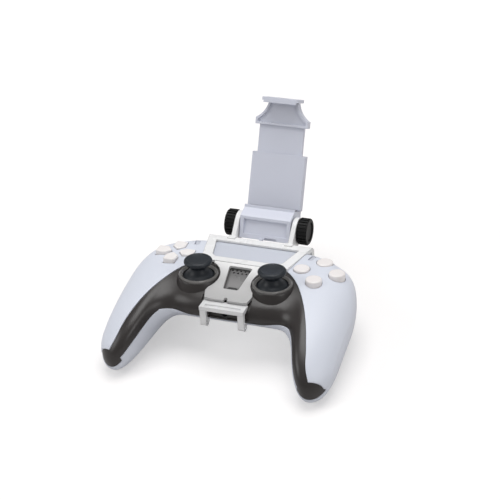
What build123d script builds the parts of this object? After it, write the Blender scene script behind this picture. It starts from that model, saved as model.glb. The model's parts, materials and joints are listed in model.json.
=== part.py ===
from build123d import *
import math
import os

# A hand-held game controller with a clip-on device mount.
# Working frame, in millimetres: origin midway between the two stick axes on the face,
# X to the user's right, Y away from the user, Z out of the face.
# The last lines turn everything into the resting position on a table.

os.makedirs("parts", exist_ok=True)

# Overall shape of the controller
HALF_WIDTH = 80.6
BACK_EDGE = 52.0
CHIN_EDGE = -23.0
GRIP_REACH = -57.0
BODY_HALF_HEIGHT = 15.3
SHELL_WALL = 2.2
TRIM_RECESS = 0.4
SEAM_GAP = 0.12
TIP_LOWEST = -52.6

# Sticks
STICK_X = 25.9
STICK_TOP = 11.5
STICK_CAP_R = 9.5
STICK_PIVOT_Z = -9.0
DOME_R = 13.3
DOME_WALL = 1.3
BOWL_GAP = 0.5
COLLAR_IN_R = 10.6
COLLAR_OUT_R = 13.4
LOBE_TOP = 0.2
GIMBAL_PIN_R = 1.3
STEM_R = 2.2
HUB_R = 3.4
PIN_CLEARANCE = 0.06

# Buttons
CLUSTER_X = 51.1
CLUSTER_Y = 21.5
BUTTON_R = 5.5
BUTTON_OFFSET = 12.2
BUTTON_TOP = 3.5
BUTTON_GAP = 0.3
BUTTON_FLANGE = 0.9
BUTTON_FLANGE_TOP = -5.4
BUTTON_FOOT = -6.8
BUTTON_TRAVEL = 1.0
POCKET_FLOOR = BUTTON_FOOT - BUTTON_TRAVEL - 0.5
PAD_IN = 2.7
PAD_SHOULDER = 6.3
PAD_OUT = 13.2
PAD_HALF = 4.4
SMALL_BUTTON_X = 41.2
SMALL_BUTTON_Y = 37.0

# Touchpad
TOUCH_FRONT_Y = 18.0
TOUCH_BACK_Y = 47.0
TOUCH_FRONT_X = 26.4
TOUCH_BACK_X = 32.6
TOUCH_TOP = 1.9
TOUCH_THICK = 2.6
STRIP_WIDTH = 1.3

# Bumpers and triggers
BUMPER_IN_X = 40.2
BUMPER_OUT_X = 59.5
BUMPER_FRONT_Y = 42.0
BUMPER_TOP = -1.6
BUMPER_LOW = -11.0
BUMPER_TRAVEL = 0.8
TRIGGER_X = 51.6
TRIGGER_HALF = 10.6
TRIGGER_AXIS_Y = 37.0
TRIGGER_AXIS_Z = -17.0
TRIGGER_TOE_Y = 50.0
TRIGGER_TOE_Z = -42.0
TRIGGER_PIN_R = 1.5
TRIGGER_BEVEL = 1.0

# Ports
JACK_R = 1.8
JACK_Z = -14.6
USB_WIDTH = 9.0
USB_HEIGHT = 3.3
USB_Z = -13.0

# Mount on the face
FRAME_TOP = 3.5
FRAME_FIT = 0.1
FRAME_BACK_X = 37.1
FRAME_FRONT_X = 30.6
FRAME_BACK_Y = 50.6
FRAME_FRONT_Y = 15.2
WINDOW_BACK_X = 29.6
WINDOW_FRONT_X = 25.0
WINDOW_BACK_Y = 43.4
WINDOW_FRONT_Y = 21.2
PLATE_THICK = 2.0
PLATE_SLOPE = 14.7
PANEL_THICK = 1.4
PLATE_RING_GAP = 1.1

# Front hook
HOOK_HALF = 15.3
HOOK_LEG = 4.4
HOOK_TOP = -7.5
HOOK_THICK = 2.8
HOOK_BACK_Y = -18.4
HOOK_FRONT_Y = -28.2
HOOK_LEG_THICK = 2.4
HOOK_CURL_Z = -20.0

# Tilt hinge
HINGE_Y = 67.1
HINGE_Z = 6.0
UPRIGHT_R = 8.9
UPRIGHT_IN_X = 18.9
UPRIGHT_THICK = 3.4
BOLT_R = 2.5
KNOB_R = 9.3
KNOB_THICK = 7.2
KNOB_RIBS = 24
KNOB_GAP = 0.35

# Clamp, in its own frame: origin on the hinge axis, Y to the back, Z along the column
CLAMP_LEAN = 21.8
BLOCK_HALF = 18.2
BLOCK_FRONT = -9.4
BLOCK_BACK = 12.6
SEAT_Z = 12.3
DEVICE_FRONT = -0.7
DEVICE_THICK = 7.5
DEVICE_HEIGHT = 72.8
PAD_THICK = 0.7
LIP_HEIGHT = 1.6
LIP_THICK = 1.5
SLEEVE_HALF = 19.5
SLEEVE_FRONT = 6.5
SLEEVE_BACK = 12.2
SLEEVE_TOP = 50.3
SLIDE_HALF = 16.1
SLIDE_THICK = 3.0
SLIDE_GAP = 0.3
SLIDE_FOOT = 30.0
NECK_Z = 69.6
NECK_HALF = 19.0
NECK_TOP_HALF = 10.4
CAP_HALF = 13.2
CAP_THICK = 2.3

parts = {}


def add(name, shape):
    parts[name] = shape


def mirrored(shape):
    return mirror(shape, about=Plane.YZ)


def add_pair(name, shape):
    add(name + "_right", shape)
    add(name + "_left", mirrored(shape))


def wire_of(*curves):
    """One closed wire from curves that follow each other."""
    edges = []
    for curve in curves:
        edges += list(curve.edges())
    return Wire(edges)


def face_of(*curves):
    return Face(wire_of(*curves))


def yz_prism(points, x_from, x_to):
    """A solid with a straight-edged outline in the YZ plane."""
    outline = Polyline(*[(x_from, y, z) for y, z in points], close=True)
    return extrude(face_of(outline), amount=x_to - x_from, dir=(1, 0, 0))


def block(x0, x1, y0, y1, z0, z1):
    size = (x1 - x0, y1 - y0, z1 - z0)
    centre = ((x0 + x1) / 2, (y0 + y1) / 2, (z0 + z1) / 2)
    return Pos(*centre) * Box(*size)


def rod(x, y, z0, z1, radius):
    return Pos(x, y, (z0 + z1) / 2) * Cylinder(radius, z1 - z0)


def cross_rod(x0, x1, y, z, radius):
    return Pos((x0 + x1) / 2, y, z) * Rot(0, 90, 0) * Cylinder(radius, x1 - x0)


def largest(shape):
    return max(shape.solids(), key=lambda s: s.volume)


def revolved(points, x=0.0, y=0.0, z=0.0):
    """A turned piece from radius and height pairs."""
    outline = Polyline(*[(r, 0, h) for r, h in points], close=True)
    turned = revolve(face_of(outline), axis=Axis.Z)
    return Pos(x, y, z) * turned


# Body sections: x, back edge, front edge, heights of back, front and middle of the
# spine, half height, and how much faster the front edge moves in for an inner body
ROWS = [
    (0.0, BACK_EDGE, CHIN_EDGE, -11.2, -15.0, -14.0, BODY_HALF_HEIGHT, 1.0),
    (14.0, BACK_EDGE, CHIN_EDGE, -11.2, -15.0, -14.0, BODY_HALF_HEIGHT, 1.0),
    (28.0, 51.2, -22.0, -11.3, -15.5, -14.3, 15.5, 1.0),
    (38.0, 49.6, -20.8, -11.7, -17.0, -14.9, 16.3, 1.1),
    (44.0, 48.2, -24.5, -12.2, -19.5, -15.4, 16.9, 1.7),
    (49.0, 46.6, -33.5, -12.7, -24.5, -16.0, 17.4, 2.4),
    (54.0, 44.6, -45.0, -13.2, -31.5, -16.4, 17.8, 2.5),
    (59.0, 42.3, -54.0, -13.8, -38.7, -16.9, 18.0, 1.8),
    (64.0, 39.8, GRIP_REACH, -14.8, -43.0, -17.6, 17.7, 1.1),
    (69.0, 36.0, -56.6, -15.8, -44.3, -18.8, 16.4, 1.0),
    (73.5, 29.5, -54.0, -17.3, -43.8, -20.5, 14.2, 1.0),
    (77.0, 20.0, -49.5, -19.6, -41.5, -22.8, 11.0, 1.0),
    (79.4, 6.5, -43.0, -22.5, -38.3, -25.5, 6.8, 1.0),
    (80.35, -6.5, -35.5, -25.5, -35.0, -28.0, 3.6, 1.0),
    (HALF_WIDTH, -17.0, -25.5, -28.5, -31.5, -29.5, 1.2, 1.0),
]
STATIONS = [0, 12, 21, 28, 34, 40, 46.5, 53, 60, 68, 76, 83, 87]
BACK_TOP_POWER = 4.2
BACK_LOW_POWER = 2.8
SECTION_POINTS = 12


def row_angle(x):
    return math.degrees(math.asin(min(1.0, x / HALF_WIDTH)))


def row_at(angle):
    """Smooth values between the rows; the angle crowds the sections near the side."""
    angles = [row_angle(row[0]) for row in ROWS]
    i = max(j for j in range(len(ROWS) - 1) if angles[j] <= angle + 1e-9)
    span = angles[i + 1] - angles[i]
    t = (angle - angles[i]) / span
    values = [HALF_WIDTH * math.sin(math.radians(angle))]
    for c in range(1, 8):
        here = ROWS[i][c]
        after = ROWS[i + 1][c]
        slope_in = 0.0
        slope_out = after - here
        if i > 0:
            slope_in = (after - ROWS[i - 1][c]) / (angles[i + 1] - angles[i - 1]) * span
        if i + 2 < len(ROWS):
            slope_out = (ROWS[i + 2][c] - here) / (angles[i + 2] - angles[i]) * span
        a = 2 * t ** 3 - 3 * t ** 2 + 1
        b = t ** 3 - 2 * t ** 2 + t
        d = t ** 3 - t ** 2
        values.append(a * here + b * slope_in + (1 - a) * after + d * slope_out)
    return values


def body_section(row, inset, side):
    """One closed section across the body, a bent superellipse."""
    x, back, front, z_back, z_front, z_mid, half, speed = row
    back = back - inset
    front = front + inset * speed
    half = half - inset
    blend = min(1.0, max(0.0, (x - 46.0) / 16.0))
    front_power = 2.1 + 0.9 * blend
    front_low_power = 2.1 + 1.3 * blend
    if x > 62.0:
        x = x - inset * (x - 62.0) / (HALF_WIDTH - 62.0)
    y_mid = (back + front) / 2 + 4.0
    points = []
    for i in range(SECTION_POINTS):
        turn = 2 * math.pi * (i + 0.5) / SECTION_POINTS + math.pi
        c = math.cos(turn)
        s = math.sin(turn)
        if c > 0:
            power = BACK_TOP_POWER if s > 0 else BACK_LOW_POWER
        else:
            power = front_power if s > 0 else front_low_power
        u = math.copysign(abs(c) ** (2 / power), c)
        v = math.copysign(abs(s) ** (2 / power), s)
        t = (1 - u) / 2
        y = (1 - t) ** 2 * back + 2 * t * (1 - t) * y_mid + t * t * front
        z = (1 - t) ** 2 * z_back + 2 * t * (1 - t) * z_mid + t * t * z_front
        dy = 2 * (1 - t) * (y_mid - back) + 2 * t * (front - y_mid)
        dz = 2 * (1 - t) * (z_mid - z_back) + 2 * t * (z_front - z_mid)
        length = math.hypot(dy, dz)
        points.append((side * x, y + dz / length * half * v, z - dy / length * half * v))
    return Wire([Spline(*points, periodic=True)])


def body(inset):
    """The whole controller form, made smaller all round by the inset."""
    sections = [body_section(row_at(a), inset, -1) for a in reversed(STATIONS[1:])]
    sections += [body_section(row_at(a), inset, 1) for a in STATIONS]
    return Solid.make_loft(sections)


outer = body(0)
trim_form = body(TRIM_RECESS)
clear_form = body(-FRAME_FIT)
proud_form = body(-0.5)

# Regions: the two wings of the upper shell in plan, and everything under the seam
WING_EDGE = [
    (29.4, 17.4),
    (39.5, 7.0),
    (48.0, -6.3),
    (56.0, -23.7),
    (60.8, -37.4),
    (63.4, -46.5),
    (65.6, -53.4),
    (69.4, -58.0),
    (78.0, -61.5),
]
SEAM_Y = [-62, -51.3, -40, -27, -15, 20, 62]
SEAM_INNER = list(zip(SEAM_Y, [-36, -27, -21.4, -16.8, -16.2, -16.5, -13]))
SEAM_OUTER = list(zip(SEAM_Y, [-54, -44.5, -38.5, -34, -31, -24, -14]))
SEAM_CHIN = list(zip(SEAM_Y, [-36, -27, -22.6, -19.2, -18.6, -16.8, -13]))


def wing_prism():
    edge = Spline(*[(x, y, -70) for x, y in WING_EDGE])
    start = WING_EDGE[0]
    end = WING_EDGE[-1]
    corners = [end, (95, end[1]), (95, 75), (40.2, 75), start]
    rest = Polyline(*[(x, y, -70) for x, y in corners])
    return extrude(face_of(edge, rest), amount=90, dir=(0, 0, 1))


def seam_face(points, x):
    edge = Spline(*[(x, y, z) for y, z in points])
    first = points[0]
    last = points[-1]
    corners = [last, (last[0], -80), (first[0], -80), first]
    rest = Polyline(*[(x, y, z) for y, z in corners])
    return wire_of(edge, rest)


def under_seam():
    wires = [
        seam_face(SEAM_OUTER, -85),
        seam_face(SEAM_INNER, -45),
        seam_face(SEAM_CHIN, -26),
        seam_face(SEAM_CHIN, 26),
        seam_face(SEAM_INNER, 45),
        seam_face(SEAM_OUTER, 85),
    ]
    return Solid.make_loft(wires, ruled=True)


TIP_NORMAL = Vector(0.333, -0.873, -0.357)
TIP_POINT = Vector(60.25, -56.75, -37.9)


RIM_NORMAL = Vector(0.316, -0.649, 0.692)
RIM_POINT = Vector(77.64, -48.08, -41.65)
WING_TIP = 0.8


def tip_slab(shift):
    """Everything in front of the slanted end of the right grip."""
    origin = TIP_POINT + TIP_NORMAL * (15 + shift)
    return Plane(origin=origin, z_dir=TIP_NORMAL) * Box(70, 70, 30)


def tip_wedge(grow):
    """The dark end of the right grip, above the rim of the rear shell."""
    origin = RIM_POINT - RIM_NORMAL * (15 + grow)
    rim = Plane(origin=origin, z_dir=RIM_NORMAL) * Box(90, 90, 30)
    return tip_slab(-grow) - rim


wing_right = wing_prism() - tip_slab(WING_TIP)
below = under_seam()
tips = tip_wedge(0) + mirrored(tip_wedge(0))
tips_wide = tip_wedge(SEAM_GAP) + mirrored(tip_wedge(SEAM_GAP))
wing_inner = Pos(SEAM_GAP, SEAM_GAP, 0) * wing_right
wing_region = wing_right - below
upper_right = (outer & wing_inner) - below
rear_shell = (outer & (Pos(0, 0, -SEAM_GAP) * below)) - tips_wide
core = trim_form - [wing_region, mirrored(wing_region), below - tips]

core_cuts = []
right_cuts = []
left_cuts = []
rear_cuts = []

# Round lobes that carry the sticks
flow = [(13.0, 0, LOBE_TOP), (14.2, 0, -1.6), (16.0, 0, -8.0), (18.8, 0, -17.5)]
edge = Spline(*flow, tangents=[(1, 0, -0.6), (0.5, 0, -1)])
rest = Polyline((18.8, 0, -17.5), (0, 0, -17.5), (0, 0, LOBE_TOP), (13.0, 0, LOBE_TOP))
lobe = Pos(STICK_X, 0, 0) * revolve(face_of(edge, rest), axis=Axis.Z)
lobe = lobe - wing_right - (Pos(0, 0, 0.1) * below)
core = core + [lobe, mirrored(lobe)]

# Sloped seat for the centre plate, the chin slope under the hook, and the panel pocket
slope_rad = math.radians(PLATE_SLOPE)
slope_up = (0, -math.sin(slope_rad), math.cos(slope_rad))
slope = Plane(origin=(0, 0, 0.04), x_dir=(1, 0, 0), z_dir=slope_up)
RING_CLEAR = COLLAR_OUT_R + PLATE_RING_GAP


def plate_outline(grow):
    """Centre plate outline between the two collars, in the sloped plane."""
    side = [
        (14.6 + grow, -20.6 - grow),
        (16.4 + grow, -13.6),
        (15.2 + grow, -9.2),
        (19.6 + grow, 0.0),
        (19.6 + grow, 14.6 + grow),
    ]
    other = [(-x, y) for x, y in reversed(side)]
    sketch = Polygon(*side, *other, align=None)
    for centre in (-STICK_X, STICK_X):
        sketch = sketch - Pos(centre, 0) * Circle(RING_CLEAR - grow)
    return sketch


seat = extrude(slope * Pos(0, 0, -PLATE_THICK - 0.1) * plate_outline(0.15), amount=12, dir=slope_up)
chin_slope = yz_prism([(-15.0, -7.3), (-30.0, -13.96), (-30.0, 6.0), (-15.0, 6.0)], -16.9, 16.9)


def panel_outline(grow):
    back = 9.2 + grow
    front = 5.9 + grow
    corners = [(-front, -11.4 - grow), (front, -11.4 - grow), (back, 12.6 + grow), (-back, 12.6 + grow)]
    return Polygon(*corners, align=None)


panel_floor = -PLATE_THICK - PANEL_THICK - 0.15
panel_pocket = extrude(slope * Pos(0, 0, panel_floor - 0.05) * panel_outline(0.1), amount=6, dir=slope_up)
core_cuts.append(seat + chin_slope + panel_pocket)

# Touchpad well with the light strips beside it
TOUCH_SLOPE = (TOUCH_BACK_X - TOUCH_FRONT_X) / (TOUCH_BACK_Y - TOUCH_FRONT_Y)


def touch_outline(grow):
    front = TOUCH_FRONT_Y - grow
    back = TOUCH_BACK_Y + grow
    x_front = TOUCH_FRONT_X + grow
    x_back = TOUCH_BACK_X + grow
    return Polygon((-x_front, front), (x_front, front), (x_back, back), (-x_back, back), align=None)


touch_foot = TOUCH_TOP - TOUCH_THICK
strip_well = extrude(Pos(0, 0, touch_foot - 1.0) * touch_outline(BUTTON_GAP + STRIP_WIDTH + 0.1), amount=8)
touchpad = extrude(Pos(0, 0, touch_foot) * touch_outline(0), amount=TOUCH_THICK)
touchpad = fillet(touchpad.edges().filter_by(Axis.Z), 1.6)
touchpad = chamfer(touchpad.faces().sort_by(Axis.Z)[-1].edges(), 0.3)
core_cuts.append(strip_well)
strip_outline = Pos(0, 0, touch_foot - 0.95) * touch_outline(BUTTON_GAP + STRIP_WIDTH)
strip_full = extrude(strip_outline, amount=TOUCH_THICK + 0.5)
strips = strip_full - extrude(Pos(0, 0, -10) * touch_outline(BUTTON_GAP), amount=20)
strips = strips - block(-24, 24, 0, 60, -10, 10)
strips = strips & clear_form
strip_right = max([s for s in strips.solids() if s.center().X > 0], key=lambda s: s.volume)

# Bowls for the sticks and seats for their gimbals
for side in (-1, 1):
    bowl = Pos(side * STICK_X, 0, STICK_PIVOT_Z) * Sphere(DOME_R + BOWL_GAP)
    throat = rod(side * STICK_X, 0, STICK_PIVOT_Z, 8, COLLAR_IN_R + 0.3)
    centre = side * STICK_X
    trunnion_r = GIMBAL_PIN_R + PIN_CLEARANCE
    trunnion = cross_rod(centre - 15, centre + 15, 0, STICK_PIVOT_Z, trunnion_r)
    ring_seat = rod(side * STICK_X, 0, LOBE_TOP - 0.8, 8, COLLAR_OUT_R + 0.1)
    core_cuts.append(bowl + throat + trunnion + ring_seat)
    rear_cuts.append(bowl)
    right_cuts.append(bowl)
    left_cuts.append(bowl)

# Buttons on the right
BUTTON_SPOTS = {
    "top": (0, BUTTON_OFFSET),
    "right": (BUTTON_OFFSET, 0),
    "bottom": (0, -BUTTON_OFFSET),
    "left": (-BUTTON_OFFSET, 0),
}
for name, (dx, dy) in BUTTON_SPOTS.items():
    x = CLUSTER_X + dx
    y = CLUSTER_Y + dy
    cap = rod(x, y, BUTTON_FOOT, BUTTON_TOP, BUTTON_R)
    cap = fillet(cap.edges().sort_by(Axis.Z)[-1], 1.1)
    flange = rod(x, y, BUTTON_FOOT, BUTTON_FLANGE_TOP, BUTTON_R + BUTTON_FLANGE)
    add("action_button_" + name, cap + flange)
    hole_r = BUTTON_R + BUTTON_GAP
    wide_r = hole_r + BUTTON_FLANGE
    step = BUTTON_FLANGE_TOP + 0.5
    pocket_points = [(0, POCKET_FLOOR), (wide_r, POCKET_FLOOR), (wide_r, step), (hole_r, step)]
    pocket_points += [(hole_r, 8), (0, 8)]
    pocket = revolved(pocket_points, x=x, y=y)
    right_cuts.append(pocket)


def pad_outline(grow):
    return Polygon(
        (PAD_IN - grow * 1.3, 0),
        (PAD_SHOULDER, -PAD_HALF - grow),
        (PAD_OUT + grow, -PAD_HALF + 0.3 - grow),
        (PAD_OUT + grow, PAD_HALF - 0.3 + grow),
        (PAD_SHOULDER, PAD_HALF + grow),
        align=None,
    )


PAD_TURNS = {"right": 0, "top": 90, "left": 180, "bottom": 270}
for name, turn in PAD_TURNS.items():
    place = Pos(-CLUSTER_X, CLUSTER_Y, 0) * Rot(0, 0, turn)
    pad = extrude(Pos(0, 0, BUTTON_FOOT) * pad_outline(0), amount=BUTTON_TOP - BUTTON_FOOT)
    pad = fillet(pad.edges().filter_by(Axis.Z), 1.2)
    pad = fillet(pad.faces().sort_by(Axis.Z)[-1].edges(), 0.7)
    foot = extrude(Pos(0, 0, BUTTON_FOOT) * pad_outline(0.6), amount=BUTTON_FLANGE_TOP - BUTTON_FOOT)
    add("dpad_" + name, place * (pad + foot))
    hole = place * extrude(Pos(0, 0, POCKET_FLOOR + 1) * pad_outline(BUTTON_GAP), amount=20)
    wide = Pos(0, 0, POCKET_FLOOR) * pad_outline(0.6 + BUTTON_GAP)
    pocket = place * extrude(wide, amount=BUTTON_FLANGE_TOP + 0.5 - POCKET_FLOOR)
    left_cuts.append(hole + pocket)

# Small pill buttons beside the touchpad, leaning with its sides
LEAN_ANGLE = math.degrees(math.atan(TOUCH_SLOPE))


def pill(grow, low, high):
    sketch = SlotOverall(6.6 + 2 * grow, 2.9 + 2 * grow)
    turned = Pos(SMALL_BUTTON_X, SMALL_BUTTON_Y, low) * Rot(0, 0, 90 - LEAN_ANGLE) * sketch
    return extrude(turned, amount=high - low)


small = pill(0, -5.0, 2.1) + pill(0.6, -5.0, -3.6)
small_hole = pill(BUTTON_GAP, -6.0, 8) + pill(0.6 + BUTTON_GAP, -6.6, -3.2)
right_cuts.append(small_hole)
left_cuts.append(mirrored(small_hole))
add("options_button", small)
add("share_button", mirrored(small))

# Bumpers, cut from a slightly larger copy of the body
bumper_box = block(BUMPER_IN_X, BUMPER_OUT_X, BUMPER_FRONT_Y, 60, BUMPER_LOW, BUMPER_TOP)
bumper = largest(proud_form & bumper_box)
room_y = BUMPER_FRONT_Y - BUMPER_TRAVEL - 0.2
bumper_room = block(BUMPER_IN_X - 0.3, BUMPER_OUT_X + 0.3, room_y, 60, BUMPER_LOW - 0.3, BUMPER_TOP + 0.3)

# Triggers
TRIGGER_OUTLINE = [
    (32.6, -15.6),
    (36.0, -13.6),
    (44.0, -13.6),
    (50.3, -17.6),
    (53.0, -26.0),
    (53.2, -34.0),
    (TRIGGER_TOE_Y + 1.6, TRIGGER_TOE_Z + 1.2),
    (TRIGGER_TOE_Y, TRIGGER_TOE_Z),
    (46.6, TRIGGER_TOE_Z + 1.0),
    (47.2, -33.0),
    (44.6, -26.5),
    (38.0, -21.5),
    (33.4, -20.0),
]
curve = Spline(*[(0, y, z) for y, z in TRIGGER_OUTLINE], periodic=True)
trigger_body = extrude(face_of(curve), amount=TRIGGER_HALF, both=True, dir=(1, 0, 0))
trigger_body = chamfer(trigger_body.edges().filter_by(GeomType.BSPLINE), TRIGGER_BEVEL)
trigger_body = Pos(TRIGGER_X, 0, 0) * trigger_body
trigger_bore_r = TRIGGER_PIN_R + PIN_CLEARANCE
trigger_bore = cross_rod(TRIGGER_X - 20, TRIGGER_X + 20, TRIGGER_AXIS_Y, TRIGGER_AXIS_Z, trigger_bore_r)
trigger_body = trigger_body - trigger_bore
room_half = TRIGGER_HALF + 0.4
trigger_room = block(TRIGGER_X - room_half, TRIGGER_X + room_half, 30.5, 60, -34, -12.2)
pin_half = TRIGGER_HALF + 2.4
hole_half = TRIGGER_HALF + 2.5
pin_ends = (TRIGGER_X - pin_half, TRIGGER_X + pin_half)
hole_ends = (TRIGGER_X - hole_half, TRIGGER_X + hole_half)
trigger_pin = cross_rod(*pin_ends, TRIGGER_AXIS_Y, TRIGGER_AXIS_Z, TRIGGER_PIN_R)
pin_hole = cross_rod(*hole_ends, TRIGGER_AXIS_Y, TRIGGER_AXIS_Z, TRIGGER_PIN_R + 0.02)
rooms = bumper_room + trigger_room
right_cuts.append(rooms + pin_hole)
left_cuts.append(mirrored(rooms + pin_hole))
core_cuts.append(rooms + mirrored(rooms))
rear_cuts += [rooms + pin_hole, mirrored(rooms + pin_hole)]
add_pair("bumper", bumper)
add_pair("trigger", trigger_body)
add_pair("trigger_pin", trigger_pin)

# Ports: headset jack and contacts on the chin, charging socket at the back
CONTACT_X = [-9.0, -6.2, 6.2, 9.0]
chin_cut = block(-11.2, 11.2, -30, CHIN_EDGE + 1.7, JACK_Z - 2.7, JACK_Z + 2.3)
jack_room = Pos(0, CHIN_EDGE + 6, JACK_Z) * Rot(90, 0, 0) * Cylinder(JACK_R + 1.3, 14)
chin_room = chin_cut + jack_room
jack = Pos(0, CHIN_EDGE + 6.9, JACK_Z) * Rot(90, 0, 0) * Cylinder(JACK_R + 1.2, 11)
jack = jack - Pos(0, CHIN_EDGE + 5.0, JACK_Z) * Rot(90, 0, 0) * Cylinder(JACK_R, 14)
add("headset_jack", jack)
for x in CONTACT_X:
    chin_room = chin_room + Pos(x, CHIN_EDGE + 3, JACK_Z) * Rot(90, 0, 0) * Cylinder(0.9, 5)
core_cuts.append(chin_room)
rear_cuts.append(chin_room)


def usb_form(grow, y_from, y_to, radius):
    half_w = USB_WIDTH / 2 + grow
    half_h = USB_HEIGHT / 2 + grow
    solid = block(-half_w, half_w, y_from, y_to, USB_Z - half_h, USB_Z + half_h)
    return fillet(solid.edges().filter_by(Axis.Y), radius)


usb_hole = usb_form(0.1, BACK_EDGE - 8, 60, 1.5)
usb_shell = usb_form(0, BACK_EDGE - 7.9, BACK_EDGE - 0.7, 1.45)
usb_inner = usb_form(-0.35, BACK_EDGE - 7.2, 60, 1.1)
usb_shell = usb_shell - usb_inner
add("usb_socket", usb_shell)
add("usb_tongue", block(-3.2, 3.2, BACK_EDGE - 7.2, BACK_EDGE - 1.6, USB_Z - 0.35, USB_Z + 0.35))
core_cuts.append(usb_hole)
rear_cuts.append(usb_hole)

# Notches under the chin where the hook claws hold
for side in (-1, 1):
    inner_x = HOOK_HALF - HOOK_LEG - 0.5
    outer_x = HOOK_HALF + 0.5
    low = min(side * inner_x, side * outer_x)
    notch = block(low, low + outer_x - inner_x, -40, -18.6, -40, -18.4)
    face_cut = block(low, low + outer_x - inner_x, -40, -22.4, -40, 0)
    core_cuts.append(notch + face_cut)
    rear_cuts.append(notch + face_cut)


def cut_all(shape, tools):
    """Takes the tools away one after the other and keeps the main solid."""
    for tool in tools:
        shape = largest(shape - tool)
    return shape


HOME_Y = -7.6


def home_form(grow, low, high):
    sketch = SlotOverall(6.4 + 2 * grow, 2.7 + 2 * grow)
    return extrude(slope * Pos(0, HOME_Y, low) * sketch, amount=high - low, dir=slope_up)


home_room = home_form(BUTTON_GAP, -6.4, 5.6)
core_cuts.append(home_room)
upper_left = mirrored(upper_right)
add("upper_shell_right", cut_all(upper_right, right_cuts))
add("upper_shell_left", cut_all(upper_left, left_cuts))
add("rear_shell", cut_all(rear_shell, rear_cuts))
add("core_trim", cut_all(core, core_cuts))
add("touchpad", touchpad)
add("light_strip_right", strip_right)
add("light_strip_left", mirrored(strip_right))

# Sticks: collar, gimbal ring and stick with dome, neck and dished cap
COLLAR_POINTS = [
    (COLLAR_IN_R, -0.75),
    (COLLAR_OUT_R, -0.75),
    (COLLAR_OUT_R, 0.5),
    (COLLAR_OUT_R - 0.8, 1.2),
    (COLLAR_OUT_R - 1.4, 1.2),
    (COLLAR_IN_R, 0.0),
]
collar = revolved(COLLAR_POINTS, x=STICK_X, z=LOBE_TOP)
add_pair("stick_collar", collar)
gimbal = rod(STICK_X, 0, STICK_PIVOT_Z - 1.9, STICK_PIVOT_Z + 1.9, 7.4)
gimbal = gimbal - rod(STICK_X, 0, STICK_PIVOT_Z - 5, STICK_PIVOT_Z + 5, 5.6)
for end in (-1, 1):
    start = STICK_X + end * 6.6
    stop = STICK_X + end * 14.9
    gimbal = gimbal + cross_rod(min(start, stop), max(start, stop), 0, STICK_PIVOT_Z, GIMBAL_PIN_R)
gimbal = gimbal - Pos(STICK_X, 0, STICK_PIVOT_Z) * Rot(90, 0, 0) * Cylinder(GIMBAL_PIN_R + PIN_CLEARANCE, 20)
add_pair("stick_gimbal", gimbal)
DOME_EDGE = 66.0
DISH_R = 6.9
edge_r = DOME_R * math.sin(math.radians(DOME_EDGE))
edge_z = DOME_R * math.cos(math.radians(DOME_EDGE))
inner_r = (DOME_R - DOME_WALL) * math.sin(math.radians(DOME_EDGE))
inner_z = (DOME_R - DOME_WALL) * math.cos(math.radians(DOME_EDGE))
neck_r = 8.6
neck_z = math.sqrt(DOME_R ** 2 - neck_r ** 2)
top = STICK_TOP - STICK_PIVOT_Z
dome_mid = (DOME_R * math.sin(math.radians(53)), 0, DOME_R * math.cos(math.radians(53)))
dome_arc = ThreePointArc((edge_r, 0, edge_z), dome_mid, (neck_r, 0, neck_z))
skirt = ThreePointArc((neck_r, 0, neck_z), (6.4, 0, top - 8.2), (5.5, 0, top - 6.2))
flare = ThreePointArc((5.5, 0, top - 6.2), (6.7, 0, top - 4.3), (9.1, 0, top - 2.9))
rim = ThreePointArc((9.1, 0, top - 2.9), (STICK_CAP_R, 0, top - 1.7), (8.6, 0, top - 0.25))
crown = Polyline((8.6, 0, top - 0.25), (8.0, 0, top), (7.4, 0, top), (DISH_R, 0, top - 0.3))
DISH_DEPTH = 0.8
dish_curve = (DISH_R ** 2 + DISH_DEPTH ** 2) / (2 * DISH_DEPTH)
dish_rise = dish_curve - math.sqrt(dish_curve ** 2 - 3.5 ** 2)
dish_low = top - 0.3 - DISH_DEPTH
dish = ThreePointArc((DISH_R, 0, top - 0.3), (3.5, 0, dish_low + dish_rise), (0, 0, dish_low))
under_z = math.sqrt((DOME_R - DOME_WALL) ** 2 - STEM_R ** 2)
under_mid = (DOME_R - DOME_WALL) * math.sin(math.radians(35))
under_mid_z = (DOME_R - DOME_WALL) * math.cos(math.radians(35))
axis_line = Line((0, 0, top - 1.1), (0, 0, -HUB_R))
hub = Polyline((0, 0, -HUB_R), (2.2, 0, -HUB_R), (HUB_R, 0, -2.0), (HUB_R, 0, 2.0), (STEM_R, 0, HUB_R))
stem = Line((STEM_R, 0, HUB_R), (STEM_R, 0, under_z))
under_arc = ThreePointArc((STEM_R, 0, under_z), (under_mid, 0, under_mid_z), (inner_r, 0, inner_z))
lip = Line((inner_r, 0, inner_z), (edge_r, 0, edge_z))
outline = face_of(dome_arc, skirt, flare, rim, crown, dish, axis_line, hub, stem, under_arc, lip)
stick = revolve(outline, axis=Axis.Z)
stick = stick + Rot(90, 0, 0) * Cylinder(GIMBAL_PIN_R, 14.4)
stick = Pos(STICK_X, 0, STICK_PIVOT_Z) * stick
add_pair("stick", stick)

# Centre panel with speaker holes and home button
panel = extrude(slope * Pos(0, 0, panel_floor) * panel_outline(0), amount=PANEL_THICK, dir=slope_up)
HOLE_PITCH = 2.94
for row, count in ((0, 5), (1, 4)):
    for i in range(count):
        hx = (i - (count - 1) / 2) * HOLE_PITCH + 0.35
        hy = 10.1 - row * 2.2
        hole = extrude(slope * Pos(hx, hy, -PLATE_THICK - 0.9) * Circle(0.65), amount=2, dir=slope_up)
        panel = panel - hole
panel = panel - home_room
add("centre_panel", panel)
add("home_button", home_form(0, -5.4, -PLATE_THICK + 0.25))

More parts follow.
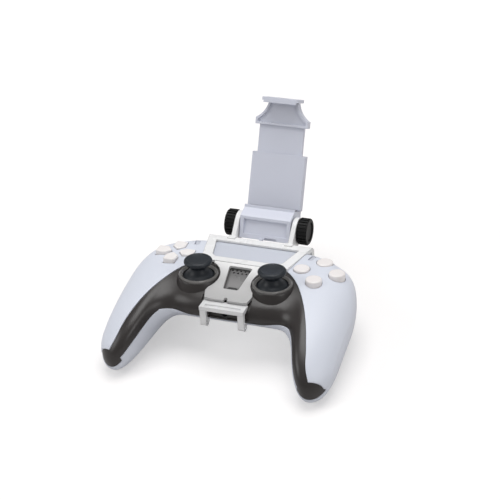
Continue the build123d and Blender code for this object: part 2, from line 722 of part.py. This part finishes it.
# Mount frame around the touchpad, with a back flange and two uprights
frame_outline = Polygon(
    (-FRAME_FRONT_X + 1.6, FRAME_FRONT_Y),
    (FRAME_FRONT_X - 1.6, FRAME_FRONT_Y),
    (FRAME_FRONT_X, FRAME_FRONT_Y + 1.6),
    (FRAME_BACK_X, FRAME_BACK_Y - 1.5),
    (FRAME_BACK_X, FRAME_BACK_Y + 3.2),
    (-FRAME_BACK_X, FRAME_BACK_Y + 3.2),
    (-FRAME_BACK_X, FRAME_BACK_Y - 1.5),
    (-FRAME_FRONT_X, FRAME_FRONT_Y + 1.6),
    align=None,
)
window = Polygon(
    (-WINDOW_FRONT_X + 3.0, WINDOW_FRONT_Y),
    (WINDOW_FRONT_X - 3.0, WINDOW_FRONT_Y),
    (WINDOW_FRONT_X, WINDOW_FRONT_Y + 2.6),
    (WINDOW_BACK_X, WINDOW_BACK_Y),
    (-WINDOW_BACK_X, WINDOW_BACK_Y),
    (-WINDOW_FRONT_X, WINDOW_FRONT_Y + 2.6),
    align=None,
)
frame = extrude(Pos(0, 0, -7.0) * frame_outline, amount=7.0 + FRAME_TOP)
frame = frame - extrude(Pos(0, 0, -10) * window, amount=20)
ROUND_BACK = [
    (FRAME_BACK_Y - 0.5, FRAME_TOP + 0.01),
    (FRAME_BACK_Y + 4, FRAME_TOP + 0.01),
    (FRAME_BACK_Y + 4, -0.5),
]
frame = frame - yz_prism(ROUND_BACK, -60, 60)
frame = frame - clear_form
frame = frame - extrude(Pos(0, 0, -12) * touch_outline(0.5), amount=12 + TOUCH_TOP + 0.35)
frame = frame - block(-60, 60, 10, 49, -12, 0.6)
frame = frame - rod(STICK_X, 0, -12, 12, RING_CLEAR) - rod(-STICK_X, 0, -12, 12, RING_CLEAR)
frame = largest(frame)
tangent_y = HINGE_Y - UPRIGHT_R * 0.741
tangent_z = HINGE_Z + UPRIGHT_R * 0.671
base_y = FRAME_BACK_Y + 0.9
upright_points = [
    (base_y - 3.5, FRAME_TOP - 0.2),
    (base_y, FRAME_TOP - 0.9),
    (tangent_y, tangent_z),
    (HINGE_Y, HINGE_Z),
    (HINGE_Y, HINGE_Z - UPRIGHT_R),
    (base_y + 1.6, -5.6),
    (base_y + 0.4, -6.4),
]
for side in (-1, 1):
    x0 = min(side * UPRIGHT_IN_X, side * (UPRIGHT_IN_X + UPRIGHT_THICK))
    arm = yz_prism(upright_points, x0, x0 + UPRIGHT_THICK)
    arm = arm - clear_form
    arm = arm + cross_rod(x0, x0 + UPRIGHT_THICK, HINGE_Y, HINGE_Z, UPRIGHT_R)
    x1 = x0 + UPRIGHT_THICK
    boss = block(x0 - 1.0, x1 + 1.0, base_y - 4.2, base_y - 0.6, FRAME_TOP - 1.0, FRAME_TOP + 0.9)
    boss = fillet(boss.faces().sort_by(Axis.Z)[-1].edges(), 0.5)
    frame = frame + arm + boss
frame = frame - cross_rod(-40, 40, HINGE_Y, HINGE_Z, BOLT_R + 0.02)
add("mount_frame", largest(frame))

# Centre plate with the cut-out over the panel and the slot at its foot
plate = extrude(slope * Pos(0, 0, -PLATE_THICK) * plate_outline(0), amount=PLATE_THICK, dir=slope_up)
cutout = Polygon((-5.2, -9.9), (5.2, -9.9), (8.1, 11.9), (-8.1, 11.9), align=None)
cutout = fillet(cutout.vertices(), 1.2)
plate = plate - extrude(slope * Pos(0, 0, -10) * cutout, amount=20, dir=slope_up)
foot_slot = Rot(0, 0, 90) * SlotOverall(6.0, 2.4)
plate = plate - extrude(slope * Pos(0, -21.0, -10) * foot_slot, amount=20, dir=slope_up)
plate = plate - block(-30, 30, FRAME_FRONT_Y - 0.1, 30, -10, 10)
for side in (-1, 1):
    low = min(side * 12.6, side * 20)
    plate = plate - block(low, low + 7.4, -26, HOOK_BACK_Y - 1.0, -14, 4)
add("centre_plate", largest(plate))

# Clear hook over the chin
hook_profile = [
    (HOOK_FRONT_Y, HOOK_TOP),
    (HOOK_BACK_Y, HOOK_TOP),
    (HOOK_BACK_Y, HOOK_TOP - 1.0),
    (-22.9, HOOK_TOP - HOOK_THICK),
    (HOOK_FRONT_Y, HOOK_TOP - HOOK_THICK),
]
hook = yz_prism(hook_profile, -HOOK_HALF, HOOK_HALF)
groove_half = HOOK_HALF - 3.0
groove_y = HOOK_FRONT_Y + 2.2
groove = block(-groove_half, groove_half, groove_y, groove_y + 2.2, HOOK_TOP - 0.7, HOOK_TOP + 1)
hook = hook - groove
leg_front = HOOK_FRONT_Y + 0.8
leg_back = leg_front + HOOK_LEG_THICK
curl_out = 3.1
curl_y = leg_front + curl_out
for side in (-1, 1):
    x0 = min(side * HOOK_HALF, side * (HOOK_HALF - HOOK_LEG))
    leg = block(x0, x0 + HOOK_LEG, leg_front, leg_back, HOOK_CURL_Z, HOOK_TOP - 1)
    curl = cross_rod(x0, x0 + HOOK_LEG, curl_y, HOOK_CURL_Z, curl_out)
    curl = curl - cross_rod(x0 - 1, x0 + HOOK_LEG + 1, curl_y, HOOK_CURL_Z, curl_out - 1.5)
    above = block(x0 - 1, x0 + HOOK_LEG + 1, leg_front - 5, leg_front + 20, HOOK_CURL_Z, HOOK_CURL_Z + 10)
    curl = curl - above
    claw_y = curl_y + curl_out
    claw = block(x0, x0 + HOOK_LEG, claw_y - 1.5, claw_y, HOOK_CURL_Z, HOOK_CURL_Z + 1.3)
    hook = hook + leg + curl + claw
add("front_hook", hook)

# Hinge bolt and ribbed knobs
outer_x = UPRIGHT_IN_X + UPRIGHT_THICK
bolt_end = outer_x + KNOB_GAP + KNOB_THICK - 1.5
add("hinge_bolt", cross_rod(-bolt_end, bolt_end, HINGE_Y, HINGE_Z, BOLT_R))
knob = Cylinder(KNOB_R - 0.7, KNOB_THICK)
for i in range(KNOB_RIBS):
    angle = math.radians(360 / KNOB_RIBS * i)
    rib_x = (KNOB_R - 0.75) * math.cos(angle)
    rib_y = (KNOB_R - 0.75) * math.sin(angle)
    rib = Pos(rib_x, rib_y, 0) * Rot(0, 0, math.degrees(angle)) * Box(1.5, 1.25, KNOB_THICK - 1.2)
    knob = knob + rib
knob = knob - Pos(0, 0, KNOB_THICK / 2) * Cylinder(KNOB_R - 2.6, 1.4)
knob = knob - Pos(0, 0, -1.2) * Cylinder(BOLT_R + PIN_CLEARANCE, KNOB_THICK)
knob = Pos(outer_x + KNOB_GAP + KNOB_THICK / 2, HINGE_Y, HINGE_Z) * Rot(0, 90, 0) * knob
add_pair("knob", knob)

# Clamp pieces, drawn upright in the clamp frame and then leaned back over the hinge
clamp_place = Pos(0, HINGE_Y, HINGE_Z) * Rot(-CLAMP_LEAN, 0, 0)
lip_front = DEVICE_FRONT - 0.2 - LIP_THICK
BLOCK_OUTLINE = [
    (-7.6, -9.0),
    (BLOCK_FRONT, 6.4),
    (BLOCK_FRONT + 1.2, 7.6),
    (lip_front, SEAT_Z - 0.4),
    (lip_front, SEAT_Z + LIP_HEIGHT),
    (lip_front + LIP_THICK, SEAT_Z + LIP_HEIGHT),
    (lip_front + LIP_THICK, SEAT_Z),
    (BLOCK_BACK, SEAT_Z),
    (BLOCK_BACK, -2.0),
    (6.0, -8.6),
    (0.0, -9.8),
]
clamp_block = yz_prism(BLOCK_OUTLINE, -BLOCK_HALF, BLOCK_HALF)
clamp_block = clamp_block - cross_rod(-40, 40, 0, 0, BOLT_R + PIN_CLEARANCE)
window_half = BLOCK_HALF - 2.6
face_window = block(-window_half, window_half, BLOCK_FRONT - 3, BLOCK_FRONT + 2.2, -5.6, 4.4)
clamp_block = clamp_block - face_window
clamp_block = clamp_block - block(0.0, 8.6, -14, -5.4, -12, -7.4)
clamp_block = clamp_block - block(-BLOCK_HALF + 3, BLOCK_HALF - 3, 4.6, 10.6, 2.5, 10.4)
bump = block(-3.4, -1.2, -8.6, -6.0, -10.0, -8.0)
clamp_block = clamp_block + bump
add("clamp_block", clamp_place * clamp_block)
pad_half = BLOCK_HALF - 1.0
pad_front = lip_front + LIP_THICK + 0.1
pad_low = SEAT_Z + 0.05
lower_pad = block(-pad_half, pad_half, pad_front, SLEEVE_FRONT - 0.2, pad_low, pad_low + PAD_THICK)
add("lower_pad", clamp_place * lower_pad)
sleeve_foot = SEAT_Z + 0.1
sleeve = block(-SLEEVE_HALF, SLEEVE_HALF, SLEEVE_FRONT, SLEEVE_BACK, sleeve_foot, SLEEVE_TOP)
sleeve = fillet(sleeve.edges().filter_by(Axis.Z), 1.0)
slide_front = SLEEVE_FRONT + 0.95 + SLIDE_GAP
slide_back = slide_front + SLIDE_THICK
cavity_half = SLIDE_HALF + SLIDE_GAP
cavity_front = slide_front - SLIDE_GAP
cavity_back = slide_back + SLIDE_GAP
cavity_foot = sleeve_foot + 1.2
cavity = block(-cavity_half, cavity_half, cavity_front, cavity_back, cavity_foot, SLEEVE_TOP + 1)
pad_step = block(-30, 30, SLEEVE_FRONT - 1, SLEEVE_FRONT + 0.5, sleeve_foot - 1, pad_low + PAD_THICK + 0.15)
sleeve = sleeve - cavity - pad_step
add("clamp_sleeve", clamp_place * sleeve)
slide = block(-SLIDE_HALF, SLIDE_HALF, slide_front, slide_back, SLIDE_FOOT, NECK_Z)
add("slide_plate", clamp_place * slide)
cap_low = SEAT_Z + 0.05 + PAD_THICK + DEVICE_HEIGHT + PAD_THICK
neck_front = 5.9
neck_back = 11.8
neck_edges = [
    Line((-NECK_HALF, 0, NECK_Z), (NECK_HALF, 0, NECK_Z)),
    Line((NECK_HALF, 0, NECK_Z), (NECK_HALF, 0, NECK_Z + 4.6)),
    ThreePointArc((NECK_HALF, 0, NECK_Z + 4.6), (13.2, 0, NECK_Z + 9.8), (NECK_TOP_HALF, 0, cap_low + 0.2)),
    Line((NECK_TOP_HALF, 0, cap_low + 0.2), (-NECK_TOP_HALF, 0, cap_low + 0.2)),
    ThreePointArc((-NECK_TOP_HALF, 0, cap_low + 0.2), (-13.2, 0, NECK_Z + 9.8), (-NECK_HALF, 0, NECK_Z + 4.6)),
    Line((-NECK_HALF, 0, NECK_Z + 4.6), (-NECK_HALF, 0, NECK_Z)),
]
neck_face = face_of(*neck_edges)
jaw = Pos(0, neck_front, 0) * extrude(neck_face, amount=neck_back - neck_front, dir=(0, 1, 0))
inner_neck = offset(neck_face, -1.7, kind=Kind.INTERSECTION)
jaw = jaw - Pos(0, neck_front - 1, 0) * extrude(inner_neck, amount=2.4, dir=(0, 1, 0))
cap_front = lip_front - 0.1
cap = block(-CAP_HALF, CAP_HALF, cap_front, neck_back, cap_low, cap_low + CAP_THICK)
cap = fillet(cap.edges().filter_by(Axis.Z), 1.4)
lip_half = CAP_HALF - 1.4
cap_lip = block(-lip_half, lip_half, cap_front, cap_front + 1.2, cap_low - 1.4, cap_low + 0.5)
jaw = jaw + cap + cap_lip
add("upper_jaw", clamp_place * jaw)
upper_half = CAP_HALF - 2.0
pad_top = cap_low - 0.05
upper_pad = block(-upper_half, upper_half, cap_front + 1.6, neck_front - 0.3, pad_top - PAD_THICK, pad_top)
add("upper_pad", clamp_place * upper_pad)

# Resting position: the grips' tips and the triggers' toes stand on the table
REST_TILT = math.degrees(math.atan2(TRIGGER_TOE_Z - TIP_LOWEST, TRIGGER_TOE_Y + 46.0))
turned = {name: Rot(-REST_TILT, 0, 0) * shape for name, shape in parts.items()}
box = Compound(children=[Compound(list(s.solids())) for s in turned.values()]).bounding_box()
centre_y = (box.min.Y + box.max.Y) / 2
for name, shape in turned.items():
    resting = Pos(0, -centre_y, -box.min.Z) * shape
    solids = list(resting.solids())
    piece = solids[0] if len(solids) == 1 else Compound(solids)
    export_step(piece, "parts/" + name + ".step")
print("rest tilt", round(REST_TILT, 3), "shift", round(-centre_y, 3), round(-box.min.Z, 3))
print("size", round(box.size.X, 2), round(box.size.Y, 2), round(box.size.Z, 2))
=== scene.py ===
import json

import bpy
from mathutils import Matrix, Vector

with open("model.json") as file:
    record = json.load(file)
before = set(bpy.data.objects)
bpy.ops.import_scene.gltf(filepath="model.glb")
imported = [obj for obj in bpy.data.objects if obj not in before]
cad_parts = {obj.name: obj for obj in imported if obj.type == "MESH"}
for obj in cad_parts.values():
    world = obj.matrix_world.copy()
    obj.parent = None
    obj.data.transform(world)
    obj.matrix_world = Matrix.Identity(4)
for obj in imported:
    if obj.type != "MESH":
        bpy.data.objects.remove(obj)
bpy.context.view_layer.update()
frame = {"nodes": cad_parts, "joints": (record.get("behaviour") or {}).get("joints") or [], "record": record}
nodes = frame["nodes"]
joints = {joint["name"]: joint for joint in frame["joints"]}

# The controller's face leans a little as it rests on the table. Its frame has X to the
# right, Y away from the user and Z out of the face, with the origin between the sticks.
FACE_NORMAL = Vector(joints["action_top_press"]["axis"])
FACE_RIGHT = Vector((1.0, 0.0, 0.0))
FACE_BACK = FACE_NORMAL.cross(FACE_RIGHT)
STICK_X = 0.0259
STICK_PIVOT_Z = -0.009
stick_pivot = Vector(joints["stick_right_fore_aft"]["pos_m"])
FACE_ORIGIN = stick_pivot - FACE_RIGHT * STICK_X - FACE_NORMAL * STICK_PIVOT_Z


def face_direction(x, y, z):
    return FACE_RIGHT * x + FACE_BACK * y + FACE_NORMAL * z


def face_point(x, y, z):
    """A point given in millimetres in the face frame, in metres in the frame's own axes."""
    return FACE_ORIGIN + face_direction(x, y, z) / 1000.0


# Materials. A cloud of noise varies tone and gloss, and a finer one gives the grain.
CLOUD_SCALE = 35.0
CLOUD_DETAIL = 3.0
CLOUD_RANGE = (0.3, 0.7)
GRAIN_SCALE = 5200.0
GRAIN_DETAIL = 1.0
GRAIN_DEPTH = 0.0001
GLOSS_CHANGE = 0.1
COAT_ROUGHNESS = 0.15
EDGE_AGREEMENT = (0.80, 0.99)
BEVEL_SAMPLES = 6
EDGE_SHADE_SAMPLES = 8
HOLLOW_SAMPLES = 8


def new_material(name):
    material = bpy.data.materials.new(name)
    material.use_nodes = True
    tree = material.node_tree
    return material, tree, tree.nodes["Principled BSDF"]


def math_node(tree, kind, operation):
    """A new maths node: kind is Math, or VectorMath for vectors."""
    node = tree.nodes.new("ShaderNode" + kind)
    node.operation = operation
    return node


def object_coordinates(tree):
    return tree.nodes.new("ShaderNodeTexCoord").outputs["Object"]


def noise(tree, scale, detail):
    texture = tree.nodes.new("ShaderNodeTexNoise")
    texture.inputs["Scale"].default_value = scale
    texture.inputs["Detail"].default_value = detail
    tree.links.new(object_coordinates(tree), texture.inputs["Vector"])
    return texture.outputs["Fac"]


def map_range(tree, source, from_range=(0.0, 1.0), to_range=(0.0, 1.0), smooth=False):
    """Brings a value from one range into another."""
    node = tree.nodes.new("ShaderNodeMapRange")
    if smooth:
        node.interpolation_type = "SMOOTHSTEP"
    node.inputs["From Min"].default_value = from_range[0]
    node.inputs["From Max"].default_value = from_range[1]
    node.inputs["To Min"].default_value = to_range[0]
    node.inputs["To Max"].default_value = to_range[1]
    tree.links.new(source, node.inputs["Value"])
    return node


def rounded_normal(tree, radius, samples):
    """The surface's normal, as if its edges were rounded."""
    bevel = tree.nodes.new("ShaderNodeBevel")
    bevel.samples = samples
    bevel.inputs["Radius"].default_value = radius
    return bevel.outputs["Normal"]


def plastic(name, colour, rough, tone=0.02, grain=0.0, edge=0.0, coat=0.0, specular=0.5):
    """A moulded plastic: faint tone and gloss changes, a fine grain and rounded edges.

    Tone and grain are shares of the full effect, and edge is a radius in metres."""
    material, tree, shader = new_material(name)
    shader.inputs["Specular IOR Level"].default_value = specular
    shader.inputs["Coat Weight"].default_value = coat
    shader.inputs["Coat Roughness"].default_value = COAT_ROUGHNESS
    cloud = noise(tree, CLOUD_SCALE, CLOUD_DETAIL)
    mix = tree.nodes.new("ShaderNodeMix")
    mix.data_type = "RGBA"
    mix.inputs["A"].default_value = (*[c * (1 - tone) for c in colour], 1)
    mix.inputs["B"].default_value = (*[min(1, c * (1 + tone)) for c in colour], 1)
    tree.links.new(map_range(tree, cloud, CLOUD_RANGE).outputs["Result"], mix.inputs["Factor"])
    tree.links.new(mix.outputs["Result"], shader.inputs["Base Color"])
    gloss_range = (rough * (1 - GLOSS_CHANGE), rough * (1 + GLOSS_CHANGE))
    gloss = map_range(tree, cloud, CLOUD_RANGE, gloss_range)
    tree.links.new(gloss.outputs["Result"], shader.inputs["Roughness"])
    normal = rounded_normal(tree, edge, BEVEL_SAMPLES) if edge else None
    if grain:
        bump = tree.nodes.new("ShaderNodeBump")
        bump.inputs["Strength"].default_value = grain
        bump.inputs["Distance"].default_value = GRAIN_DEPTH
        tree.links.new(noise(tree, GRAIN_SCALE, GRAIN_DETAIL), bump.inputs["Height"])
        if normal:
            tree.links.new(normal, bump.inputs["Normal"])
        normal = bump.outputs["Normal"]
    if normal:
        tree.links.new(normal, shader.inputs["Normal"])
    return material


def brushed(name, colour, rough):
    material = plastic(name, colour, rough, tone=0.05)
    material.node_tree.nodes["Principled BSDF"].inputs["Metallic"].default_value = 1.0
    return material


def multiply_colour(material, factor):
    """Multiplies a material's colour by a value or a colour."""
    tree = material.node_tree
    shader = tree.nodes["Principled BSDF"]
    colour = shader.inputs["Base Color"].links[0].from_socket
    mix = tree.nodes.new("ShaderNodeMix")
    mix.data_type = "RGBA"
    mix.blend_type = "MULTIPLY"
    mix.inputs["Factor"].default_value = 1.0
    tree.links.new(colour, mix.inputs["A"])
    tree.links.new(factor, mix.inputs["B"])
    tree.links.new(mix.outputs["Result"], shader.inputs["Base Color"])


def paint_hollow_shade(material, distance, power):
    """Paints shade into narrow hollows, such as the small holes of a grille."""
    tree = material.node_tree
    hollow = tree.nodes.new("ShaderNodeAmbientOcclusion")
    hollow.samples = HOLLOW_SAMPLES
    hollow.inputs["Distance"].default_value = distance
    curve = math_node(tree, "Math", "POWER")
    curve.inputs[1].default_value = power
    tree.links.new(hollow.outputs["AO"], curve.inputs[0])
    multiply_colour(material, curve.outputs[0])


def paint_edge_shade(material, radius, tone):
    """Paints shade along the edges, so that they stand out as grey lines on clear or milky plastic.

    An edge is where the rounded normal and the flat one agree less."""
    tree = material.node_tree
    flat = tree.nodes.new("ShaderNodeNewGeometry")
    agree = math_node(tree, "VectorMath", "DOT_PRODUCT")
    tree.links.new(rounded_normal(tree, radius, EDGE_SHADE_SAMPLES), agree.inputs[0])
    tree.links.new(flat.outputs["Normal"], agree.inputs[1])
    darken = map_range(tree, agree.outputs["Value"], EDGE_AGREEMENT, (tone, 1.0))
    multiply_colour(material, darken.outputs["Result"])


def paint_shade_along(material, front, back, stops):
    """Paints shade and sheen onto a piece between two places on the face, given in millimetres from its
    origin.

    The stops are places from 0 at the front to 1 at the back with a tone each. The two
    ends come first and any place between them after."""
    tree = material.node_tree
    along = math_node(tree, "VectorMath", "DOT_PRODUCT")
    along.inputs[1].default_value = FACE_BACK
    tree.links.new(object_coordinates(tree), along.inputs[0])
    ends = [face_point(0, y, 0).dot(FACE_BACK) for y in (front, back)]
    place = map_range(tree, along.outputs["Value"], ends)
    ramp = tree.nodes.new("ShaderNodeValToRGB")
    ramp.color_ramp.interpolation = "EASE"
    elements = ramp.color_ramp.elements
    for i, (position, tone) in enumerate(stops):
        stop = elements[i] if i < len(elements) else elements.new(position)
        stop.position = position
        stop.color = (tone, tone, tone, 1)
    tree.links.new(place.outputs["Result"], ramp.inputs["Fac"])
    multiply_colour(material, ramp.outputs["Color"])


# Colours are linear, and the first number after each is its roughness
LOOKS = {
    "shell": plastic("shell_lavender", (0.69, 0.72, 0.80), 0.38, tone=0.01, grain=0.10, edge=0.0003),
    "trim": plastic("trim_dark", (0.027, 0.023, 0.022), 0.32, tone=0.05, grain=0.05, edge=0.0003),
    "action_button": plastic("button_pearl", (0.88, 0.84, 0.83), 0.20, tone=0.01, edge=0.0002, coat=0.4),
    "dpad": plastic("pad_pearl", (0.90, 0.865, 0.85), 0.22, tone=0.01, edge=0.0003, coat=0.3),
    "small_button": plastic("small_button", (0.56, 0.58, 0.65), 0.3, edge=0.0002),
    "home": plastic("home_dark", (0.02, 0.02, 0.021), 0.3, edge=0.0002),
    "touch": plastic("touch_lavender", (0.585, 0.61, 0.68), 0.34, tone=0.01, grain=0.06, edge=0.0003),
    "trigger": plastic("trigger_dark", (0.06, 0.057, 0.055), 0.30, tone=0.05, edge=0.0003),
    "steel": brushed("steel", (0.62, 0.62, 0.64), 0.3),
    "port": plastic("port_black", (0.02, 0.02, 0.021), 0.4, edge=0.0002),
    "light_strip": plastic("light_strip", (0.42, 0.43, 0.47), 0.2, edge=0.0002),
    "collar": plastic("collar_dark", (0.115, 0.110, 0.106), 0.26, tone=0.05, edge=0.0005, coat=0.5),
    "gimbal": plastic("gimbal_dark", (0.03, 0.03, 0.03), 0.5),
    "stick": plastic("stick_rubber", (0.012, 0.016, 0.022), 0.42, tone=0.08, grain=0.15, specular=0.4),
    "panel": plastic("panel_grey", (0.24, 0.235, 0.235), 0.28, edge=0.0002),
    "frosted": plastic("frosted_white", (0.85, 0.85, 0.85), 0.28, tone=0.0, edge=0.0003, coat=0.2),
    "plate": plastic("plate_white", (0.90, 0.895, 0.895), 0.22, tone=0.01, edge=0.0003, coat=0.2),
    "knob": plastic("knob_black", (0.007, 0.007, 0.007), 0.42, tone=0.08, edge=0.0002, specular=0.2),
    "clamp": plastic("clamp_lavender", (0.66, 0.68, 0.77), 0.36, tone=0.01, grain=0.06, edge=0.0004),
    "pad": plastic("pad_grey", (0.18, 0.18, 0.20), 0.65, grain=0.2),
    "clear": plastic("clear_plastic", (0.94, 0.94, 0.95), 0.14, tone=0.0, edge=0.0003, coat=0.4),
}
SLOT_OF = {entry["node"]: entry["material_slot"] for entry in frame["record"]["subparts"]}
SLOT_OF["front_hook"] = "clear"
SLOT_OF["home_button"] = "home"
SLOT_OF["touchpad"] = "touch"
for name, slot in SLOT_OF.items():
    mesh = nodes[name].data
    mesh.materials.clear()
    mesh.materials.append(LOOKS[slot])

# Painted light: the centre plate gets painted shade and reflection, darkest at its front and fading out at
# its back, and the panel in its cut-out gets a painted sheen across its middle with painted shade towards
# its front and back
PLATE_SPAN = (-21.0, 15.0)
PLATE_PAINTED_SHADE = [(0.0, 0.50), (1.0, 1.0), (0.45, 0.58)]
PANEL_SPAN = (-12.0, 13.0)
PANEL_PAINTED_SHEEN_AND_SHADE = [(0.0, 0.42), (1.0, 0.45), (0.35, 1.0)]
# Painted shade in the panel's grille holes: how far it reaches and how strongly it darkens
HOLE_REACH = 0.0022
HOLE_SHADE_POWER = 2.5
paint_shade_along(LOOKS["plate"], *PLATE_SPAN, PLATE_PAINTED_SHADE)
paint_shade_along(LOOKS["panel"], *PANEL_SPAN, PANEL_PAINTED_SHEEN_AND_SHADE)
paint_hollow_shade(LOOKS["panel"], HOLE_REACH, HOLE_SHADE_POWER)

# The mount's frame is milky and the hook is partly clear, each with the tone of the painted shade along its
# edges and the share of light that it lets through
ACRYLIC = {"frosted": (0.42, 0.0), "clear": (0.75, 0.25)}
EDGE_SHADE_RADIUS = 0.0007
ACRYLIC_IOR = 1.46
for slot, (edge_shade, clearness) in ACRYLIC.items():
    paint_edge_shade(LOOKS[slot], EDGE_SHADE_RADIUS, edge_shade)
    shader = LOOKS[slot].node_tree.nodes["Principled BSDF"]
    shader.inputs["Transmission Weight"].default_value = clearness
    shader.inputs["IOR"].default_value = ACRYLIC_IOR


# Floor, world and lamps
FLOOR_SIZE = 12.0
FLOOR_DROP = 0.0002
FLOOR_COLOUR = (0.66, 0.645, 0.64, 1)
FLOOR_ROUGHNESS = 0.9
LIFT_UNDER = 0.56
LIFT_AROUND = 0.38
LIFT_FAR = 1.0
UNDER_RANGE = (0.02, 0.08)
FAR_RANGE = (0.30, 1.0)
WHITE = (1, 1, 1, 1)
WORLD_LIGHT = 0.35
WORLD_WHITE = 1.0


def shows_white(tree):
    """1 where the camera looks at this surface, straight or through a see-through piece."""
    path = tree.nodes.new("ShaderNodeLightPath")
    either = math_node(tree, "Math", "MAXIMUM")
    tree.links.new(path.outputs["Is Camera Ray"], either.inputs[0])
    tree.links.new(path.outputs["Is Transmission Ray"], either.inputs[1])
    return either.outputs[0]


def floor_lift(tree):
    """How much painted light from the floor's glow lifts its shadow, by the distance from the object's
    middle.

    It is fainter right under the object, and far away the floor turns into the white backdrop."""
    length = math_node(tree, "VectorMath", "LENGTH")
    tree.links.new(object_coordinates(tree), length.inputs[0])
    distance = length.outputs["Value"]
    near = map_range(tree, distance, UNDER_RANGE, (LIFT_UNDER, LIFT_AROUND), smooth=True)
    far = map_range(tree, distance, FAR_RANGE, (LIFT_AROUND, LIFT_FAR), smooth=True)
    tree.links.new(near.outputs["Result"], far.inputs["To Min"])
    return far.outputs["Result"]


bpy.ops.mesh.primitive_plane_add(size=FLOOR_SIZE, location=(0, 0, -FLOOR_DROP))
floor = bpy.context.object
floor.name = "floor"
floor_material, tree, shader = new_material("floor_white")
shader.inputs["Base Color"].default_value = FLOOR_COLOUR
shader.inputs["Roughness"].default_value = FLOOR_ROUGHNESS
shader.inputs["Specular IOR Level"].default_value = 0.0
shader.inputs["Emission Color"].default_value = WHITE
lift = math_node(tree, "Math", "MULTIPLY")
tree.links.new(shows_white(tree), lift.inputs[0])
tree.links.new(floor_lift(tree), lift.inputs[1])
tree.links.new(lift.outputs[0], shader.inputs["Emission Strength"])

# Seen from below, the floor is clear, so that the underside can be looked at
geometry = tree.nodes.new("ShaderNodeNewGeometry")
clear = tree.nodes.new("ShaderNodeBsdfTransparent")
side = tree.nodes.new("ShaderNodeMixShader")
tree.links.new(geometry.outputs["Backfacing"], side.inputs["Fac"])
tree.links.new(shader.outputs["BSDF"], side.inputs[1])
tree.links.new(clear.outputs["BSDF"], side.inputs[2])
tree.links.new(side.outputs["Shader"], tree.nodes["Material Output"].inputs["Surface"])
floor.data.materials.append(floor_material)

world = bpy.data.worlds.new("world")
bpy.context.scene.world = world
world.use_nodes = True
world_tree = world.node_tree
background = world_tree.nodes["Background"]
background.inputs["Color"].default_value = WHITE
strength = map_range(world_tree, shows_white(world_tree), to_range=(WORLD_LIGHT, WORLD_WHITE))
world_tree.links.new(strength.outputs["Result"], background.inputs["Strength"])

# Square soft lamps, each with its place, its side in metres and its power in watts
LAMP_TARGET = Vector((0, 0, 0.05))
LAMPS = {
    "lamp_top": ((0.0, 0.25, 1.6), 1.2, 16.5),
    "lamp_left": ((-1.3, -0.7, 1.0), 0.9, 6.5),
    "lamp_right": ((1.5, -0.5, 0.9), 0.8, 4.5),
}
for name, (place, size, watts) in LAMPS.items():
    light = bpy.data.lights.new(name, "AREA")
    light.shape = "RECTANGLE"
    light.size = size
    light.size_y = size
    light.energy = watts
    lamp = bpy.data.objects.new(name, light)
    bpy.context.scene.collection.objects.link(lamp)
    lamp.location = place
    aim = LAMP_TARGET - Vector(place)
    lamp.rotation_euler = aim.to_track_quat("-Z", "Y").to_euler()

# Camera at the photograph's place, given in the face frame in millimetres
CAMERA_PLACE = (339.8, -858.0, 508.2)
CAMERA_RIGHT = (0.9396, 0.3405, -0.0344)
CAMERA_DOWN = (0.1305, -0.4493, -0.8838)
CAMERA_LENS = 115.2
CAMERA_SENSOR = 36.0
right = face_direction(*CAMERA_RIGHT).normalized()
down = face_direction(*CAMERA_DOWN)
down = (down - right * down.dot(right)).normalized()
forward = right.cross(down)
camera_data = bpy.data.cameras.new("camera")
camera_data.lens = CAMERA_LENS
camera_data.sensor_width = CAMERA_SENSOR
camera = bpy.data.objects.new("camera", camera_data)
bpy.context.scene.collection.objects.link(camera)
turn = Matrix((right, -down, -forward)).transposed().to_4x4()
camera.matrix_world = Matrix.Translation(face_point(*CAMERA_PLACE)) @ turn
bpy.context.scene.camera = camera

bpy.context.scene.view_settings.view_transform = "Standard"
